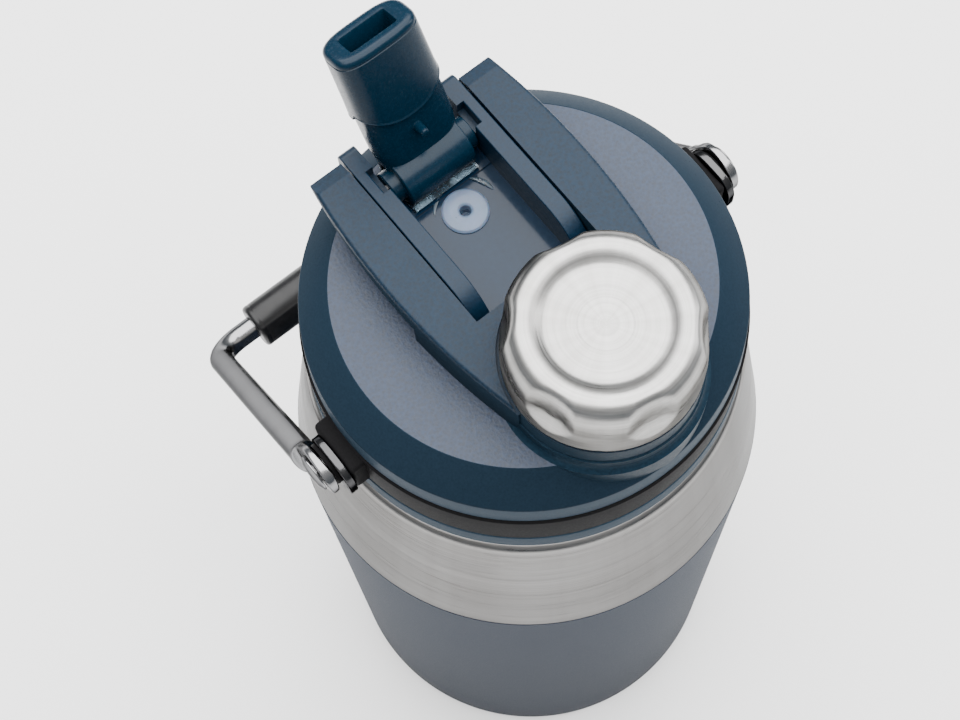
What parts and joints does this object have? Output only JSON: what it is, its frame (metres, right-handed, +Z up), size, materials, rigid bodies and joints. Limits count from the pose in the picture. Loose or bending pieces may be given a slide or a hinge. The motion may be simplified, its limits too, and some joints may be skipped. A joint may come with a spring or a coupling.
{
  "type": "insulated water jug",
  "caption": "Large double-walled steel jug with a wide screw lid, a fold-down spout, a screw-off pour cap and a swinging wire bail with a soft grip.",
  "frame": {"origin": "centre of the resting face, in the plane the jug stands on", "axes": "+Z up along the bottle's axis, +X towards the fold-down spout, +Y towards the left handle lug"},
  "size_m": [0.1329, 0.1234, 0.2961],
  "materials": {
    "powder_coat": "fine matt powder coat, slate blue",
    "liner_steel": "electropolished",
    "getter_alloy": "sintered",
    "clear_liner": "smooth moulded",
    "silicone": "translucent silicone",
    "foam": "closed-cell foam",
    "lid_blue": "spark-textured polypropylene, slate blue",
    "cradle_blue": "moulded, satin rails and a glossy floor",
    "spout_blue": "semi-gloss moulded, deep teal blue",
    "straw_clear": "translucent polypropylene",
    "spun_steel": "spun and satin brushed",
    "cap_liner": "smooth moulded",
    "black_plastic": "fine texture",
    "polished_steel": "polished",
    "grip_black": "smooth satin rubber"
  },
  "bodies": {
    "bottle": {"outer_shell": "powder_coat", "outer_neck": "liner_steel", "inner_flask": "liner_steel", "inner_neck": "liner_steel", "inner_floor": "liner_steel", "base_plate": "powder_coat", "vacuum_plug": "liner_steel", "getter_capsule": "getter_alloy"},
    "carrier": {"carry_ring": "black_plastic", "lug_plate_left": "polished_steel", "lug_plate_right": "polished_steel", "pivot_washer_left": "black_plastic", "pivot_washer_right": "black_plastic", "pivot_rivet_left": "polished_steel", "pivot_rivet_right": "polished_steel"},
    "lid": {"lid_skirt": "clear_liner", "lid_lip": "clear_liner", "lid_plate": "clear_liner", "pour_neck": "clear_liner", "straw_port": "clear_liner", "lid_gasket": "silicone", "lid_insulation": "foam", "lid_shell": "lid_blue", "spout_housing": "lid_blue", "spout_cradle": "cradle_blue", "spout_seal": "silicone", "vent_valve": "silicone", "straw": "straw_clear", "spout_pins": "polished_steel"},
    "spout": {"spout": "spout_blue"},
    "cap_seal": {"cap_gasket": "silicone"},
    "pour_cap": {"cap_shell": "spun_steel", "cap_liner": "cap_liner"},
    "bail": {"bail_rod": "polished_steel", "bail_grip": "grip_black"}
  },
  "joints": [
    {"name": "lid_rise", "type": "slide", "parent": "bottle", "child": "carrier", "axis": [0, 0, 1], "range_m": [0, 0.0102]},
    {"name": "lid_turn", "type": "hinge", "parent": "carrier", "child": "lid", "pos_m": [0, 0, 0.24], "axis": [0, 0, 1], "range_deg": [0, 450]},
    {"name": "bail_swing", "type": "hinge", "parent": "carrier", "child": "bail", "pos_m": [0, 0, 0.2325], "axis": [0, -1, 0], "range_deg": [0, 278]},
    {"name": "spout_flip", "type": "hinge", "parent": "lid", "child": "spout", "pos_m": [0.033, 0, 0.2604], "axis": [0, -1, 0], "range_deg": [0, 113.6]},
    {"name": "cap_rise", "type": "slide", "parent": "lid", "child": "cap_seal", "axis": [0, 0, 1], "range_m": [0, 0.0082]},
    {"name": "cap_turn", "type": "hinge", "parent": "cap_seal", "child": "pour_cap", "pos_m": [-0.0268, 0, 0.27], "axis": [0, 0, 1], "range_deg": [0, 720]}
  ],
  "couplings": [
    {"joint": "lid_rise", "follows": "lid_turn", "m_per_rad": 0.0012732},
    {"joint": "cap_rise", "follows": "cap_turn", "m_per_rad": 0.00063662}
  ]
}
